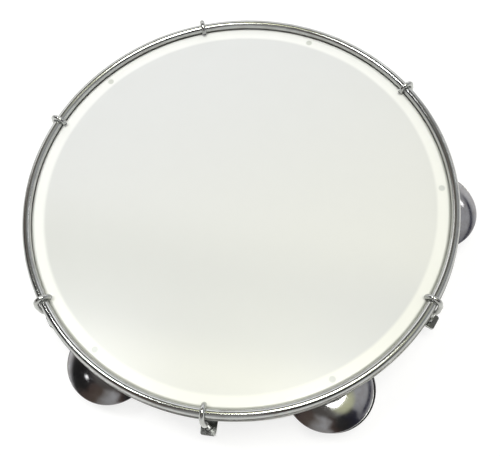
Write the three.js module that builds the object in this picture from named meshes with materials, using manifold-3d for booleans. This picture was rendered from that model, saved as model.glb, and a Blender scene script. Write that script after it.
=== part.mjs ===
// A pandeiro: a shallow jingle drum with a film head held by a steel wire hoop and six tension
// hooks, and five stations of loose jingles in slots through the shell.
// Millimetres, +Z up. The origin is the centre of the head's playing face, the drum's axis is Z,
// and +X runs through the station opposite the hand hold.
import * as THREE from 'three';
import { mergeVertices } from 'three/addons/utils/BufferGeometryUtils.js';
import Module from 'manifold-3d';

const wasm = await Module();
wasm.setup();

// Fits
const seatGap = 0.3; // between pieces that touch
const cutOverrun = 1; // how far a cut runs past the faces that it opens

// Shell
const shellRadius = 127;
const shellWall = 6;
const drumDepth = 50; // playing face to back rim
const shellEdgeRound = 1.6;

// Head film
const filmThickness = 0.4;
const filmFall = 0.5; // drop from the flat playing face to the shoulder
const filmFlatInset = 2.6; // from the shell's outer face to the edge of the flat
const filmShoulderRound = 2.4;
const filmShoulderTurn = 70; // degrees of the shoulder's arc, up from the collar
const filmShoulderReach = 2.2; // how far the collar stands outside the shell
const filmCollarDepth = 4.6; // playing face to the collar's lower edge

// Flesh hoop: the channel that grips the film's collar
const fleshInnerClearance = 0.5; // from the shell to the channel
const fleshLedgeWidth = 4.7; // from the channel to the hoop's outer face
const fleshFloor = 1.3; // thickness under the channel
const fleshEdgeRound = 0.8;

// Counter hoop: the round wire that the hooks pull down
const wireRadius = 2.63;
const wireInset = 3.15; // from the flesh hoop's outer face to the wire's axis

// Tension hooks
const rodRadius = 1.5;
const rodClearance = 0.9; // between the rod's side and the counter hoop
const stemStandOff = 7.4; // stem's axis from the shell's outer face
const hookKneeDrop = 3.8; // flesh hoop's underside to where the rod bends in to the stem
const hookKneeLength = 7;
const stemTail = 5.5; // how far the stem stands out of the nut

// Brackets
const bracketWidth = 9.4;
const bracketSheet = 1.6;
const bracketLip = 4.4; // from the stem's axis to the tab's outer edge
const bracketTabDepth = 30; // playing face to the tab's upper face
const bracketFlangeHeight = 15;
const bracketBendRound = 1.2;
const bracketCornerRound = 1.6;

// Bracket screws
const screwShankRadius = 1.4;
const screwHeadRadius = 2.9;
const screwHeadHeight = 1.6;
const screwTipCover = 1.6; // shell left under the screw's tip
const screwEdgeDistance = 5.4; // flange's upper edge to the screw's axis

// Tension nuts, hexagons under the tabs
const nutAcrossFlats = 5.5;
const nutHeight = 3.6;

// Jingle pins, driven down the middle of the wall
const pinRadius = 1.5;
const pinHeadRadius = 1.9;
const pinHeadHeight = 0.9;
const pinEndRise = 5; // back rim to the pin's lower end

// Jingles: two cups with a flat disc between them
const jingleRadius = 26.4;
const jingleSheet = 0.8;
const jingleHoleClearance = 2.5; // round the pin
const cupHeight = 7;
const cupCrownWidth = 3; // flat ring round the hole
const discInset = 1.4; // disc's edge inside the cups' rims

// Jingle slots
const slotRise = 11; // back rim to the slot
const slotPlay = 5.2; // height left over the stack of jingles
const slotSideRoom = 3.6;
const slotCornerRound = 5;

// Layout round the drum, in degrees from +X
const stationPitch = 66.25;
const handHoldHalfAngle = 27.9; // from -X to the hooks beside the hand hold
// Each station: its place in pitches from +X, and where its upper cup, disc and lower cup hang
// on the pin, as radial and tangential shares of the slack in their holes
const stations = [
  { pitches: 0, upperShares: [0.22, -0.8], discShares: [0.1, -0.5], lowerShares: [0.3, 0.2] },
  { pitches: 1, upperShares: [0.3, 0.55], discShares: [-0.2, 0.3], lowerShares: [0.1, -0.4] },
  { pitches: 2, upperShares: [-0.4, 0.4], discShares: [0.3, 0.1], lowerShares: [0.2, 0.5] },
  { pitches: -2, upperShares: [-0.66, 0.7], discShares: [-0.5, 0.3], lowerShares: [-0.6, 0.1] },
  { pitches: -1, upperShares: [-0.8, -0.14], discShares: [-0.3, 0.4], lowerShares: [-0.6, 0.55] },
];

// Facets
const ringSteps = 64;
const wireSides = 8;
const jingleSteps = 24;
const cupCurveSteps = 3;
const rodSides = 8;
const hookCurveSteps = 4;
const smallSteps = 8;
const roundSteps = 2;

// Places worked out from the sizes
const shellInnerRadius = shellRadius - shellWall;
const wallMiddle = shellRadius - shellWall / 2;
const shellTop = -filmThickness - seatGap;
const filmFlatRadius = shellRadius - filmFlatInset;
const collarRadius = shellRadius + filmShoulderReach;
const fleshInnerRadius = shellRadius + fleshInnerClearance;
const grooveInnerRadius = collarRadius - filmThickness - seatGap;
const grooveOuterRadius = collarRadius + seatGap;
const fleshOuterRadius = grooveOuterRadius + fleshLedgeWidth;
const fleshTop = -filmFall - filmThickness - seatGap;
const grooveFloor = -filmCollarDepth - seatGap;
const fleshBottom = grooveFloor - fleshFloor;
const wireRingRadius = fleshOuterRadius - wireInset;
const wireHeight = fleshTop + seatGap + wireRadius;
const stemRadius = shellRadius + stemStandOff;
const rodSideRadius = wireRingRadius + wireRadius + rodClearance + rodRadius;
const hookBend = wireRadius + seatGap + rodRadius;
const kneeTop = fleshBottom - hookKneeDrop;
const kneeBottom = kneeTop - hookKneeLength;
const stemHoleRadius = rodRadius + seatGap;
const bracketFace = shellRadius + seatGap;
const tabEdge = stemRadius + bracketLip;
const tabTop = -bracketTabDepth;
const tabBottom = tabTop - bracketSheet;
const flangeTop = tabTop + bracketFlangeHeight;
const screwHeight = flangeTop - screwEdgeDistance;
const screwBite = shellWall - screwTipCover;
const nutTop = tabBottom - seatGap;
const stemEnd = nutTop - nutHeight - stemTail;
const jingleHoleRadius = pinRadius + jingleHoleClearance;
const jingleSlack = jingleHoleClearance - seatGap;
const cupCrownRadius = jingleHoleRadius + cupCrownWidth;
const discRadius = jingleRadius - discInset;
const slotWidth = 2 * (jingleRadius + slotSideRoom);
const slotHeight = 2 * cupHeight + jingleSheet + slotPlay;
const slotBottom = slotRise - drumDepth;
const pinEnd = pinEndRise - drumDepth;
const stationAngles = stations.map((station) => station.pitches * stationPitch);
const hookAngles = [
  0.5 * stationPitch, 1.5 * stationPitch, 180 - handHoldHalfAngle,
  180 + handHoldHalfAngle, -1.5 * stationPitch, -0.5 * stationPitch,
];

// Finishes
const finish = (color, roughness, metalness) =>
  new THREE.MeshStandardMaterial({ color, roughness, metalness });
const whiteShell = finish(0xf7f7f3, 0.3, 0);
const milkyFilm = finish(0xe8e9e4, 0.25, 0);
const aluminium = finish(0xc9cbc8, 0.35, 1);
const chrome = finish(0xb9bcbc, 0.12, 1);
const steel = finish(0x8f9291, 0.3, 1);
const darkNickel = finish(0x6a686c, 0.1, 1);

// Keeps positions only, joins shared corners and drops the empty triangles at poles and seams
function closed(geometry) {
  geometry.deleteAttribute('normal');
  geometry.deleteAttribute('uv');
  const merged = mergeVertices(geometry);
  const corners = merged.index.array;
  const kept = [];
  for (let i = 0; i < corners.length; i += 3) {
    const [a, b, c] = corners.slice(i, i + 3);
    if (a !== b && b !== c && c !== a) kept.push(a, b, c);
  }
  merged.setIndex(kept);
  return merged;
}

function solidOf(geometry) {
  return new wasm.Manifold(new wasm.Mesh({
    numProp: 3,
    vertProperties: new Float32Array(geometry.attributes.position.array),
    triVerts: new Uint32Array(geometry.index.array),
  }));
}

function geometryOf(solid) {
  const mesh = solid.getMesh();
  const geometry = new THREE.BufferGeometry();
  geometry.setAttribute('position', new THREE.BufferAttribute(mesh.vertProperties, 3));
  geometry.setIndex(new THREE.BufferAttribute(mesh.triVerts, 1));
  return geometry;
}

function cut(geometry, tools) {
  const solid = tools.reduce((rest, tool) => rest.subtract(solidOf(tool)), solidOf(geometry));
  return geometryOf(solid);
}

// Keeps what lies inside every outline
function trimmed(geometry, outlines) {
  const solid = outlines.reduce((rest, outline) => rest.intersect(solidOf(outline)), solidOf(geometry));
  return geometryOf(solid);
}

// Turns an outline of radius and height, drawn anticlockwise, about Z
function revolve(outline, steps) {
  const points = outline.map(([radius, height]) => new THREE.Vector2(radius, height));
  return closed(new THREE.LatheGeometry(points, steps).rotateX(Math.PI / 2));
}

// A ring's outline ends where it starts
function revolveRing(outline, steps) {
  return revolve([...outline, outline[0]], steps);
}

function cylinder(radius, bottom, top, steps) {
  return revolve([[0, bottom], [radius, bottom], [radius, top], [0, top]], steps);
}

// Points of an arc about a centre of radius and height, angles in degrees
function arc([centreRadius, centreHeight], round, from, to, steps) {
  const points = [];
  for (let i = 0; i <= steps; i += 1) {
    const angle = THREE.MathUtils.degToRad(from + (to - from) * i / steps);
    points.push([centreRadius + round * Math.cos(angle), centreHeight + round * Math.sin(angle)]);
  }
  return points;
}

function roundedRectangle(width, height, round) {
  const shape = new THREE.Shape();
  const x = width / 2 - round;
  const y = height / 2 - round;
  shape.absarc(x, -y, round, -Math.PI / 2, 0);
  shape.absarc(x, y, round, 0, Math.PI / 2);
  shape.absarc(-x, y, round, Math.PI / 2, Math.PI);
  shape.absarc(-x, -y, round, Math.PI, 3 * Math.PI / 2);
  shape.closePath();
  return shape;
}

// An extrusion of a shape drawn across the radius and up, pushed outwards along +X
function windowTool(shape, from, to, height) {
  const geometry = new THREE.ExtrudeGeometry(shape, {
    depth: to - from, bevelEnabled: false, curveSegments: roundSteps,
  });
  geometry.rotateX(Math.PI / 2).rotateZ(Math.PI / 2).translate(from, 0, height);
  return closed(geometry);
}

// A round bar along a line of [radius, height] points in the X-Z plane
function bar(line, radius, sides) {
  const positions = [];
  const corners = [];
  line.forEach(([x, z], i) => {
    const [fromX, fromZ] = line[Math.max(i - 1, 0)];
    const [toX, toZ] = line[Math.min(i + 1, line.length - 1)];
    const length = Math.hypot(toX - fromX, toZ - fromZ);
    const normalX = (toZ - fromZ) / length;
    const normalZ = (fromX - toX) / length;
    for (let side = 0; side < sides; side += 1) {
      const angle = 2 * Math.PI * (side + 0.5) / sides;
      const across = radius * Math.cos(angle);
      positions.push(x + normalX * across, radius * Math.sin(angle), z + normalZ * across);
    }
  });
  for (let ring = 0; ring < line.length - 1; ring += 1) {
    for (let side = 0; side < sides; side += 1) {
      const a = ring * sides + side;
      const b = ring * sides + (side + 1) % sides;
      corners.push(a, b, a + sides, b, b + sides, a + sides);
    }
  }
  const last = (line.length - 1) * sides;
  for (let side = 1; side < sides - 1; side += 1) {
    corners.push(0, side + 1, side, last, last + side, last + side + 1);
  }
  const geometry = new THREE.BufferGeometry();
  geometry.setAttribute('position', new THREE.Float32BufferAttribute(positions, 3));
  geometry.setIndex(corners);
  return geometry;
}

function turned(geometry, degrees) {
  return geometry.clone().rotateZ(THREE.MathUtils.degToRad(degrees));
}

function shellGeometry() {
  const round = shellEdgeRound;
  const inner = shellInnerRadius + round;
  const outer = shellRadius - round;
  const ring = revolveRing([
    ...arc([inner, -drumDepth + round], round, 180, 270, 1),
    ...arc([outer, -drumDepth + round], round, 270, 360, 1),
    ...arc([outer, shellTop - round], round, 0, 90, roundSteps),
    ...arc([inner, shellTop - round], round, 90, 180, roundSteps),
  ], ringSteps);
  const slot = windowTool(
    roundedRectangle(slotWidth, slotHeight, slotCornerRound),
    shellInnerRadius * Math.cos(Math.asin(slotWidth / 2 / shellInnerRadius)) - cutOverrun,
    shellRadius + cutOverrun, slotBottom + slotHeight / 2,
  );
  const pinHole = revolve([
    [0, pinEnd - seatGap],
    [pinRadius + seatGap, pinEnd - seatGap],
    [pinRadius + seatGap, shellTop - pinHeadHeight - 2 * seatGap],
    [pinHeadRadius + seatGap, shellTop - pinHeadHeight - 2 * seatGap],
    [pinHeadRadius + seatGap, shellTop + cutOverrun],
    [0, shellTop + cutOverrun],
  ], smallSteps).translate(wallMiddle, 0, 0);
  const screwHole = cylinder(screwShankRadius + seatGap, 0, screwBite + seatGap + cutOverrun, smallSteps)
    .rotateY(Math.PI / 2).translate(shellRadius - screwBite - seatGap, 0, screwHeight);
  return cut(ring, [
    ...stationAngles.flatMap((angle) => [turned(slot, angle), turned(pinHole, angle)]),
    ...hookAngles.map((angle) => turned(screwHole, angle)),
  ]);
}

// The film lies flat over the shell's edge, falls a little to its shoulder and turns down into
// the flesh hoop
function filmGeometry() {
  const centre = [collarRadius - filmShoulderRound, -filmFall - filmShoulderRound];
  const outer = arc(centre, filmShoulderRound, 0, filmShoulderTurn, roundSteps);
  const inner = arc(centre, filmShoulderRound - filmThickness, filmShoulderTurn, 0, roundSteps);
  return revolve([
    [0, -filmThickness],
    [filmFlatRadius, -filmThickness],
    ...inner,
    [collarRadius - filmThickness, -filmCollarDepth],
    [collarRadius, -filmCollarDepth],
    ...outer,
    [filmFlatRadius, 0],
    [0, 0],
  ], ringSteps);
}

// A channel open upwards: the film's collar stands in its groove, and the wire sits on its
// broad outer wall
function fleshHoopGeometry() {
  const corner = [fleshOuterRadius - fleshEdgeRound, fleshBottom + fleshEdgeRound];
  const innerLipTop = -filmFall - filmShoulderRound;
  return revolveRing([
    [fleshInnerRadius, fleshBottom],
    ...arc(corner, fleshEdgeRound, 270, 360, 1),
    [fleshOuterRadius, fleshTop],
    [grooveOuterRadius, fleshTop],
    [grooveOuterRadius, grooveFloor],
    [grooveInnerRadius, grooveFloor],
    [grooveInnerRadius, innerLipTop],
    [fleshInnerRadius, innerLipTop],
  ], ringSteps);
}

function counterHoopGeometry() {
  const section = arc([wireRingRadius, wireHeight], wireRadius, 0, 360, wireSides);
  return revolveRing(section.slice(0, -1), ringSteps);
}

// From the tip inside the wire, over it, down its outside, in to the stem and down to its end
function hookGeometry() {
  const line = new THREE.Path();
  line.absarc(wireRingRadius, wireHeight, hookBend, Math.PI, 0, true);
  line.lineTo(rodSideRadius, fleshTop);
  line.lineTo(rodSideRadius, kneeTop);
  const kneeMiddle = (kneeTop + kneeBottom) / 2;
  line.bezierCurveTo(rodSideRadius, kneeMiddle, stemRadius, kneeMiddle, stemRadius, kneeBottom);
  line.lineTo(stemRadius, stemEnd);
  const points = line.getPoints(hookCurveSteps).map((point) => [point.x, point.y]);
  return bar(points, rodRadius, rodSides);
}

// Bent sheet with rounded corners: a flange screwed to the shell and a tab that the stem hangs
// through. The sheet is bent wide and trimmed to its two outlines
function bracketGeometry() {
  const outerBend = bracketBendRound + bracketSheet;
  const bendCentre = [bracketFace + outerBend, tabBottom + outerBend];
  const profile = [
    ...arc(bendCentre, outerBend, 180, 270, roundSteps),
    [tabEdge + cutOverrun, tabBottom],
    [tabEdge + cutOverrun, tabTop],
    ...arc(bendCentre, bracketBendRound, 270, 180, roundSteps),
    [bracketFace + bracketSheet, flangeTop + cutOverrun],
    [bracketFace, flangeTop + cutOverrun],
  ];
  const shape = new THREE.Shape(profile.map(([x, y]) => new THREE.Vector2(x, y)));
  const wideWidth = bracketWidth + 2 * cutOverrun;
  const sheet = new THREE.ExtrudeGeometry(shape, { depth: wideWidth, bevelEnabled: false });
  sheet.translate(0, 0, -wideWidth / 2).rotateX(Math.PI / 2);
  const tabLength = tabEdge - shellInnerRadius;
  const tabOutline = new THREE.ExtrudeGeometry(
    roundedRectangle(tabLength, bracketWidth, bracketCornerRound),
    { depth: flangeTop - tabBottom + 3 * cutOverrun, bevelEnabled: false, curveSegments: roundSteps },
  ).translate(tabEdge - tabLength / 2, 0, tabBottom - cutOverrun);
  const flangeLength = flangeTop - stemEnd;
  const flangeOutline = windowTool(
    roundedRectangle(bracketWidth, flangeLength, bracketCornerRound),
    bracketFace - cutOverrun, tabEdge + cutOverrun, flangeTop - flangeLength / 2,
  );
  const stemHole = cylinder(stemHoleRadius, tabBottom - cutOverrun, tabTop + cutOverrun, smallSteps)
    .translate(stemRadius, 0, 0);
  const screwHole = cylinder(
    screwShankRadius + seatGap, -cutOverrun, bracketSheet + cutOverrun, smallSteps,
  ).rotateY(Math.PI / 2).translate(bracketFace, 0, screwHeight);
  const plate = trimmed(closed(sheet), [closed(tabOutline), flangeOutline]);
  return cut(plate, [stemHole, screwHole]);
}

function screwGeometry() {
  const seat = bracketFace + bracketSheet + seatGap;
  const geometry = revolve([
    [0, shellRadius - screwBite - seat],
    [screwShankRadius, shellRadius - screwBite - seat],
    [screwShankRadius, 0],
    [screwHeadRadius, 0],
    [screwHeadRadius, screwHeadHeight / 3],
    [screwHeadRadius / 2, screwHeadHeight],
    [0, screwHeadHeight],
  ], smallSteps);
  return geometry.rotateY(Math.PI / 2).translate(seat, 0, screwHeight);
}

function nutGeometry() {
  const cornerRadius = nutAcrossFlats / Math.sqrt(3);
  const hexagon = new THREE.Shape();
  for (let corner = 0; corner < 6; corner += 1) {
    const angle = corner * Math.PI / 3;
    const x = cornerRadius * Math.cos(angle);
    const y = cornerRadius * Math.sin(angle);
    if (corner === 0) hexagon.moveTo(x, y);
    else hexagon.lineTo(x, y);
  }
  hexagon.closePath();
  hexagon.holes.push(new THREE.Path().absarc(0, 0, rodRadius + seatGap, 0, 2 * Math.PI, true));
  const geometry = new THREE.ExtrudeGeometry(hexagon, {
    depth: nutHeight, bevelEnabled: false, curveSegments: smallSteps,
  });
  return closed(geometry.translate(stemRadius, 0, nutTop - nutHeight));
}

function pinGeometry() {
  const top = shellTop - seatGap;
  return revolve([
    [0, pinEnd],
    [pinRadius, pinEnd],
    [pinRadius, top - pinHeadHeight],
    [pinHeadRadius, top - pinHeadHeight],
    [pinHeadRadius, top],
    [0, top],
  ], smallSteps);
}

// A domed cup with a flat crown round its hole, its rim's lower edge at height 0
function cupGeometry() {
  const rise = cupHeight - jingleSheet;
  const dome = [];
  for (let i = 0; i <= cupCurveSteps; i += 1) {
    const share = i / cupCurveSteps;
    const radius = cupCrownRadius + (jingleRadius - cupCrownRadius) * share;
    dome.push([radius, rise * (1 - share * share)]);
  }
  return revolveRing([
    [jingleHoleRadius, rise],
    ...dome,
    ...dome.map(([radius, height]) => [radius, height + jingleSheet]).reverse(),
    [jingleHoleRadius, cupHeight],
  ], jingleSteps);
}

function discGeometry() {
  return revolveRing([
    [jingleHoleRadius, 0],
    [discRadius, 0],
    [discRadius, jingleSheet],
    [jingleHoleRadius, jingleSheet],
  ], jingleSteps);
}

const pandeiro = new THREE.Group();

function add(name, geometry, material, parent = pandeiro) {
  const mesh = new THREE.Mesh(geometry, material);
  mesh.name = name;
  parent.add(mesh);
  return mesh;
}

function ray(degrees) {
  const group = new THREE.Group();
  group.rotation.z = THREE.MathUtils.degToRad(degrees);
  pandeiro.add(group);
  return group;
}

add('shell', shellGeometry(), whiteShell);
add('head_film', filmGeometry(), milkyFilm);
add('flesh_hoop', fleshHoopGeometry(), aluminium);
add('counter_hoop', counterHoopGeometry(), chrome);

const hook = hookGeometry();
const bracket = bracketGeometry();
const screw = screwGeometry();
const nut = nutGeometry();
hookAngles.forEach((angle, i) => {
  const group = ray(angle);
  add(`tension_hook_${i + 1}`, hook, chrome, group);
  add(`bracket_${i + 1}`, bracket, chrome, group);
  add(`bracket_screw_${i + 1}`, screw, steel, group);
  add(`tension_nut_${i + 1}`, nut, steel, group);
});

const pin = pinGeometry();
const cup = cupGeometry();
const lowerCup = cup.clone().rotateX(Math.PI);
const disc = discGeometry();
const lowerRim = slotBottom + seatGap + cupHeight;
const discHeight = lowerRim + seatGap;
const upperRim = discHeight + jingleSheet + seatGap;
stations.forEach((station, i) => {
  const group = ray(stationAngles[i]);
  const hang = (mesh, [radial, tangential], height) =>
    mesh.position.set(wallMiddle + radial * jingleSlack, tangential * jingleSlack, height);
  add(`jingle_pin_${i + 1}`, pin, steel, group).position.x = wallMiddle;
  hang(add(`jingle_lower_cup_${i + 1}`, lowerCup, darkNickel, group), station.lowerShares, lowerRim);
  hang(add(`jingle_disc_${i + 1}`, disc, steel, group), station.discShares, discHeight);
  hang(add(`jingle_upper_cup_${i + 1}`, cup, darkNickel, group), station.upperShares, upperRim);
});

export default pandeiro;
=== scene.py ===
import math

import bmesh
import bpy
from mathutils import Matrix, Vector


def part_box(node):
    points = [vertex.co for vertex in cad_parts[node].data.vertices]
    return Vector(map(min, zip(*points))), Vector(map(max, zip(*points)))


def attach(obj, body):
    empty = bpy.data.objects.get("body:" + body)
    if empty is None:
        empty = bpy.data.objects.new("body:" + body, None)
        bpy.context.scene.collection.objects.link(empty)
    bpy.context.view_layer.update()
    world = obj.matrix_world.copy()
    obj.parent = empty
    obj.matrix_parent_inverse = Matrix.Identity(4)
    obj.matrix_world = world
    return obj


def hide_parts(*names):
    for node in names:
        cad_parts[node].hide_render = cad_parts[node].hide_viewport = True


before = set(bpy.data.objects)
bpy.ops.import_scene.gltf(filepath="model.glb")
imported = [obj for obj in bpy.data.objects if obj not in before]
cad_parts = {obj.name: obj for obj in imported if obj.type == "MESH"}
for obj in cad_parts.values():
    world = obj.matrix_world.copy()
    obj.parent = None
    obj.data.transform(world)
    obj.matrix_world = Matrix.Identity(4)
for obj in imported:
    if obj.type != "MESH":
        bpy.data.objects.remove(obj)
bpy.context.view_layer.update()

MM = 0.001
HOOKS = range(1, 7)
STATIONS = range(1, 6)


def middle(node):
    low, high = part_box(node)
    return (low + high) / 2


# Sizes that no box of the frame shows, as in the part's source
SEAT_GAP = 0.3 * MM
SHELL_EDGE_ROUND = 1.6 * MM
SLOT_WIDTH = 60 * MM
SLOT_HEIGHT = 20 * MM
SLOT_CORNER_ROUND = 5 * MM
FILM_THICKNESS = 0.4 * MM
FILM_FLAT_INSET = 0.5 * MM
FILM_BEND = 2 * MM
FILM_FALL_ANGLE = 27
FILM_COLLAR_ROUND = 1.7 * MM
FLESH_LIP_DROP = 2.9 * MM
FLESH_INNER_CLEARANCE = 0.5 * MM
FLESH_TOP_ROUND = 0.4 * MM
FLESH_FOOT_WIDTH = 1.7 * MM
FLESH_FOOT_HEIGHT = 4.2 * MM
ROD_RADIUS = 1.5 * MM
ROD_CLEARANCE = 0.9 * MM
HOOK_KNEE_DROP = 3.8 * MM
HOOK_KNEE_LENGTH = 7 * MM
BRACKET_SHEET = 1.6 * MM
SCREW_HEAD_HEIGHT = 1.6 * MM
SCREW_SHANK_RADIUS = 1.4 * MM
SCREW_HEAD_RADIUS = 2.9 * MM
SCREW_BITE = 4.4 * MM
NUT_ACROSS_FLATS = 5.5 * MM
PIN_RADIUS = 1.5 * MM
PIN_HEAD_HEIGHT = 0.9 * MM
CUP_HOLE_RADIUS = 4 * MM
CUP_CROWN_WIDTH = 3 * MM

# Detail that only the scene has
FLOOR_DROP = 0.2 * MM
FLOOR_HALF_WIDTH = 4.0
SLOT_EDGE_ROUND = 0.5 * MM
SHEET_EDGE_ROUND = 0.22 * MM
BRACKET_EDGE_ROUND = 0.3 * MM
THREAD_PITCH = 0.5 * MM
THREAD_DEPTH = 0.2 * MM
THREAD_LENGTH = 17 * MM
NUT_CHAMFER = 0.55 * MM
NUT_FACE_SHARE = 0.97           # the round face, next to the width across flats
NUT_CHAMFER_REACH = 1.05        # where the chamfer ends, next to the corners' radius
RECESS_WIDTH = 0.8 * MM
RECESS_LENGTH = 3.1 * MM
RECESS_DEPTH = 0.9 * MM
PIN_EDGE_ROUND = 0.35 * MM
HOOK_END_ROUND = 0.5 * MM
BORE_CLEARANCE = 0.1 * MM
BORE_MOUTH_WIDTH = 0.3 * MM
MERGE_REACH = 0.001 * MM
CREASE_ANGLE = 35
CUT_EDGE_ANGLE = 40

# How finely round forms are drawn: steps of a whole turn, or of one arc
HEAD_STEPS = 256
HEAD_RINGS = (0.25, 0.5, 0.75, 0.9)     # shares of the flat face's radius
SHELL_STEPS = 240
WIRE_STEPS = 360
WIRE_SIDES = 24
PIN_STEPS = 40
SCREW_STEPS = 48
SCREW_HOLE_STEPS = 24
NUT_STEPS = 48
HOLE_STEPS = 32
CORNER_STEPS = 8
ROD_SIDES = 24
ROD_END_STEPS = 6
THREAD_STEPS = 20
THREAD_SIDES = 4
CUP_TURN_POINTS = 97
CUP_RADIUS_POINTS = 17
BEND_STEPS = 8
COLLAR_STEPS = 6
FOOT_STEPS = 10
RIM_STEPS = 5
EDGE_STEPS = 4
HOOK_TOP_STEPS = 28
KNEE_STEPS = 12

# A pan head's profile from its rim to its crown: shares of the head's radius and height
SCREW_CROWN = [(1, 0.35), (0.93, 0.68), (0.76, 0.88), (0.5, 0.975)]

# Sizes and places read from the frame
SHELL_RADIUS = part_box("shell")[1].x
SHELL_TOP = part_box("shell")[1].z
BACK_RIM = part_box("shell")[0].z
WALL_MIDDLE = middle("jingle_pin_1").x
SHELL_INNER_RADIUS = 2 * WALL_MIDDLE - SHELL_RADIUS
PIN_HEAD_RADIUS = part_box("jingle_pin_1")[1].y
PIN_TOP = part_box("jingle_pin_1")[1].z
PIN_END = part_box("jingle_pin_1")[0].z
COLLAR_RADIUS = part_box("head_film")[1].x
COLLAR_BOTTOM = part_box("head_film")[0].z
FLESH_OUTER_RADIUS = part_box("flesh_hoop")[1].x
FLESH_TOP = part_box("flesh_hoop")[1].z
FLESH_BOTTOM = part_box("flesh_hoop")[0].z
WIRE_RADIUS = (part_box("counter_hoop")[1].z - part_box("counter_hoop")[0].z) / 2
WIRE_HEIGHT = middle("counter_hoop").z
WIRE_RING_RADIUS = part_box("counter_hoop")[1].x - WIRE_RADIUS
NUT_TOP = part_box("tension_nut_1")[1].z
NUT_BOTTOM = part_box("tension_nut_1")[0].z
STEM_RADIUS = middle("tension_nut_1").xy.length
STEM_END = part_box("tension_hook_1")[0].z
HOOK_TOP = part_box("tension_hook_1")[1].z
BRACKET_FACE = SHELL_RADIUS + SEAT_GAP
SCREW_SEAT = BRACKET_FACE + BRACKET_SHEET + SEAT_GAP
SCREW_HEIGHT = middle("bracket_screw_1").z
DISC_RADIUS = (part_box("jingle_disc_1")[1].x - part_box("jingle_disc_1")[0].x) / 2
JINGLE_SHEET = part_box("jingle_disc_1")[1].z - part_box("jingle_disc_1")[0].z
CUP_RADIUS = min(
    side for low, high in (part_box(f"jingle_upper_cup_{i}") for i in STATIONS)
    for side in ((high.x - low.x) / 2, (high.y - low.y) / 2)
)
CUP_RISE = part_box("jingle_upper_cup_1")[1].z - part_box("jingle_upper_cup_1")[0].z - JINGLE_SHEET
SLOT_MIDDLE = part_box("jingle_lower_cup_1")[0].z - SEAT_GAP + SLOT_HEIGHT / 2

STEMS = [middle(f"tension_nut_{i}").xy for i in HOOKS]
PINS = [middle(f"jingle_pin_{i}").xy for i in STATIONS]


# Mesh helpers

def arc(centre, radius, start, end, steps):
    """Points of an arc about a centre of radius and height, angles in degrees."""
    angles = [math.radians(start + (end - start) * i / steps) for i in range(steps + 1)]
    return [(centre[0] + radius * math.cos(a), centre[1] + radius * math.sin(a)) for a in angles]


def new_object(name, mesh):
    piece = bpy.data.objects.new(name, mesh)
    bpy.context.scene.collection.objects.link(piece)
    return piece


def smooth(mesh):
    """Smooth faces that keep their creases."""
    mesh.polygons.foreach_set("use_smooth", [True] * len(mesh.polygons))
    mesh.set_sharp_from_angle(angle=math.radians(CREASE_ANGLE))


def plain_mesh(name, form):
    bmesh.ops.recalc_face_normals(form, faces=form.faces)
    mesh = bpy.data.meshes.new(name)
    form.to_mesh(mesh)
    form.free()
    smooth(mesh)
    return new_object(name, mesh)


def lathe(name, outline, steps=HEAD_STEPS, ring=True):
    """Turns an outline of radius and height about Z. A ring's outline closes on itself, any other
    starts and ends on the axis."""
    form = bmesh.new()
    turns = [2 * math.pi * i / steps for i in range(steps)]
    rows = []
    for radius, height in outline:
        if radius == 0:
            rows.append([form.verts.new((0, 0, height))])
        else:
            rows.append([
                form.verts.new((radius * math.cos(t), radius * math.sin(t), height)) for t in turns
            ])
    pairs = list(zip(rows, rows[1:]))
    if ring:
        pairs.append((rows[-1], rows[0]))
    for first, second in pairs:
        for i in range(steps):
            j = (i + 1) % steps
            corners = [first[i % len(first)], first[j % len(first)],
                       second[j % len(second)], second[i % len(second)]]
            form.faces.new(list(dict.fromkeys(corners)))
    return plain_mesh(name, form)


def prism(name, outline, start, end):
    """Pushes a flat outline of x and y along Z."""
    form = bmesh.new()
    base = form.faces.new([form.verts.new((x, y, start)) for x, y in outline])
    made = bmesh.ops.extrude_face_region(form, geom=[base])["geom"]
    pushed = [part for part in made if isinstance(part, bmesh.types.BMVert)]
    bmesh.ops.translate(form, verts=pushed, vec=(0, 0, end - start))
    return plain_mesh(name, form)


def rounded_rectangle(width, height, radius):
    x, y = width / 2 - radius, height / 2 - radius
    corners = [((x, -y), -90), ((x, y), 0), ((-x, y), 90), ((-x, -y), 180)]
    return [point for centre, start in corners
            for point in arc(centre, radius, start, start + 90, CORNER_STEPS)]


def turned(piece, *turns):
    """Turns a piece's mesh about its own origin: (degrees, axis), one after the other."""
    for degrees, axis in turns:
        piece.data.transform(Matrix.Rotation(math.radians(degrees), 4, axis))
    return piece


def moved(piece, x=0.0, y=0.0, z=0.0):
    piece.data.transform(Matrix.Translation((x, y, z)))
    return piece


def points(name, places):
    """A mesh of loose points: the stations that the trees read."""
    mesh = bpy.data.meshes.new(name)
    mesh.from_pydata([tuple(place) for place in places], [], [])
    return new_object(name, mesh)


def path(name, line):
    """A mesh of edges along a line of points, which a tree turns into a curve."""
    mesh = bpy.data.meshes.new(name)
    mesh.from_pydata(line, [(i, i + 1) for i in range(len(line) - 1)], [])
    return new_object(name, mesh)


def remove(*pieces):
    for piece in pieces:
        mesh = piece.data
        bpy.data.objects.remove(piece)
        bpy.data.meshes.remove(mesh)


def bevelled(piece, width, segments=2, angle=CREASE_ANGLE):
    rounding = piece.modifiers.new("Rounded edges", "BEVEL")
    rounding.width = width
    rounding.segments = segments
    rounding.limit_method = "ANGLE"
    rounding.angle_limit = math.radians(angle)
    return piece


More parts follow.
